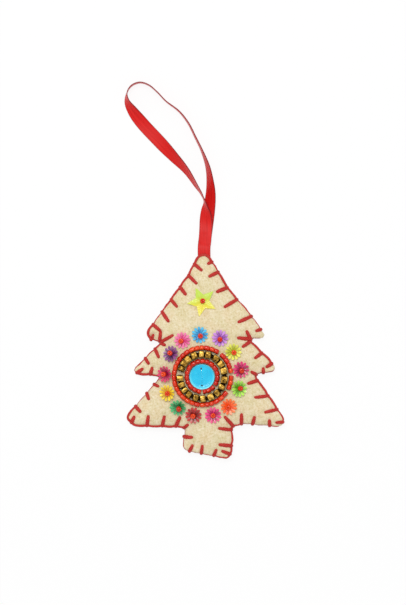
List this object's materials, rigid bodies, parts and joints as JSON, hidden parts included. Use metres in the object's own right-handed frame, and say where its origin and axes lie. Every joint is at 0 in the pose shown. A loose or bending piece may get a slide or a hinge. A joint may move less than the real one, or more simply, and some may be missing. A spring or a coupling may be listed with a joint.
{
  "type": "felt christmas tree ornament",
  "caption": "Stuffed felt christmas tree with a blanket-stitched edge, a beaded medallion, sequins that turn on their threads and a ribbon loop to hang it by.",
  "frame": {"origin": "on the table under the middle of the tree as it lies on its back, measured without the ribbon loop", "axes": "+Z out of the decorated front, +Y from the trunk to the top of the tree, +X to the right as the front is seen"},
  "size_m": [0.0758, 0.178, 0.0129],
  "materials": {
    "felt": "matted cream felt",
    "stuffing": "loose white fibre",
    "stitch_thread": "soft stranded cotton",
    "ribbon": "satin",
    "red_glass": "glossy",
    "brass_bead": "polished, tarnished in the gaps",
    "blue_disc": "glossy",
    "clear_thread": "clear nylon",
    "film_star": "iridescent film",
    "film_pink": "iridescent film",
    "film_blue": "iridescent film",
    "film_violet": "iridescent film",
    "film_citron": "iridescent film",
    "film_magenta": "iridescent film",
    "film_lime": "iridescent film",
    "film_orange": "iridescent film",
    "film_rose": "iridescent film",
    "film_maroon": "iridescent film",
    "film_green": "iridescent film",
    "film_yellow": "iridescent film",
    "film_crimson": "iridescent film",
    "film_purple": "iridescent film"
  },
  "bodies": {
    "tree": {"front_felt": "felt", "back_felt": "felt", "stuffing": "stuffing", "blanket_stitch": "stitch_thread", "ribbon_tail": "ribbon", "star_bead": "red_glass", "flower_bead_pink": "red_glass", "flower_bead_blue": "red_glass", "flower_bead_violet": "red_glass", "flower_bead_citron": "red_glass", "flower_bead_magenta": "red_glass", "flower_bead_lime": "red_glass", "flower_bead_orange": "red_glass", "flower_bead_rose": "red_glass", "flower_bead_maroon": "red_glass", "flower_bead_green": "red_glass", "flower_bead_yellow": "red_glass", "flower_bead_crimson": "red_glass", "flower_bead_purple": "red_glass", "centre_disc": "blue_disc", "disc_thread": "clear_thread", "inner_bead_strand": "red_glass", "brass_bead_strand": "brass_bead", "outer_bead_strand_long": "red_glass", "outer_bead_strand_short": "red_glass", "outer_bead_strand_right": "red_glass"},
    "ribbon": {"ribbon_loop": "ribbon"},
    "star": {"star_sequin": "film_star"},
    "flower_pink": {"flower_sequin_pink": "film_pink"},
    "flower_blue": {"flower_sequin_blue": "film_blue"},
    "flower_violet": {"flower_sequin_violet": "film_violet"},
    "flower_citron": {"flower_sequin_citron": "film_citron"},
    "flower_magenta": {"flower_sequin_magenta": "film_magenta"},
    "flower_lime": {"flower_sequin_lime": "film_lime"},
    "flower_orange": {"flower_sequin_orange": "film_orange"},
    "flower_rose": {"flower_sequin_rose": "film_rose"},
    "flower_maroon": {"flower_sequin_maroon": "film_maroon"},
    "flower_green": {"flower_sequin_green": "film_green"},
    "flower_yellow": {"flower_sequin_yellow": "film_yellow"},
    "flower_crimson": {"flower_sequin_crimson": "film_crimson"},
    "flower_purple": {"flower_sequin_purple": "film_purple"}
  },
  "joints": [
    {"name": "ribbon_fold", "type": "hinge", "parent": "tree", "child": "ribbon", "pos_m": [-0.00074, 0.04952, 0.00445], "axis": [1, 0, 0], "range_deg": [-120, 120]},
    {"name": "star_spin", "type": "hinge", "parent": "tree", "child": "star", "pos_m": [-0.00169, 0.02484, 0.00959], "axis": [-0.0249, 0.0624, 0.9977], "continuous": true},
    {"name": "flower_pink_spin", "type": "hinge", "parent": "tree", "child": "flower_pink", "pos_m": [-0.0109, 0.00674, 0.00968], "axis": [-0.0995, 0, 0.995], "continuous": true},
    {"name": "flower_blue_spin", "type": "hinge", "parent": "tree", "child": "flower_blue", "pos_m": [-0.00277, 0.0093, 0.0099], "axis": [0, 0, 1], "continuous": true},
    {"name": "flower_violet_spin", "type": "hinge", "parent": "tree", "child": "flower_violet", "pos_m": [0.00672, 0.00776, 0.00988], "axis": [0.0125, 0, 0.9999], "continuous": true},
    {"name": "flower_citron_spin", "type": "hinge", "parent": "tree", "child": "flower_citron", "pos_m": [0.01287, 0.00132, 0.00963], "axis": [0.0624, 0.0125, 0.998], "continuous": true},
    {"name": "flower_magenta_spin", "type": "hinge", "parent": "tree", "child": "flower_magenta", "pos_m": [0.01648, -0.007, 0.00925], "axis": [0.1483, 0, 0.9889], "continuous": true},
    {"name": "flower_lime_spin", "type": "hinge", "parent": "tree", "child": "flower_lime", "pos_m": [0.01536, -0.0159, 0.01055], "axis": [0.3714, 0, 0.9285], "continuous": true},
    {"name": "flower_orange_spin", "type": "hinge", "parent": "tree", "child": "flower_orange", "pos_m": [0.01079, -0.02429, 0.00956], "axis": [0.0744, -0.0992, 0.9923], "continuous": true},
    {"name": "flower_rose_spin", "type": "hinge", "parent": "tree", "child": "flower_rose", "pos_m": [0.00339, -0.02826, 0.00965], "axis": [0.0249, -0.0624, 0.9977], "continuous": true},
    {"name": "flower_maroon_spin", "type": "hinge", "parent": "tree", "child": "flower_maroon", "pos_m": [-0.00567, -0.02837, 0.00944], "axis": [-0.0621, -0.0993, 0.9931], "continuous": true},
    {"name": "flower_green_spin", "type": "hinge", "parent": "tree", "child": "flower_green", "pos_m": [-0.01297, -0.02453, 0.0103], "axis": [-0.1492, -0.3672, 0.9181], "continuous": true},
    {"name": "flower_yellow_spin", "type": "hinge", "parent": "tree", "child": "flower_yellow", "pos_m": [-0.01786, -0.01787, 0.01022], "axis": [-0.3899, -0.0803, 0.9174], "continuous": true},
    {"name": "flower_crimson_spin", "type": "hinge", "parent": "tree", "child": "flower_crimson", "pos_m": [-0.01899, -0.00909, 0.00959], "axis": [-0.514, -0.0428, 0.8567], "continuous": true},
    {"name": "flower_purple_spin", "type": "hinge", "parent": "tree", "child": "flower_purple", "pos_m": [-0.01613, 0.00026, 0.00988], "axis": [-0.4205, 0.1992, 0.8852], "continuous": true}
  ]
}
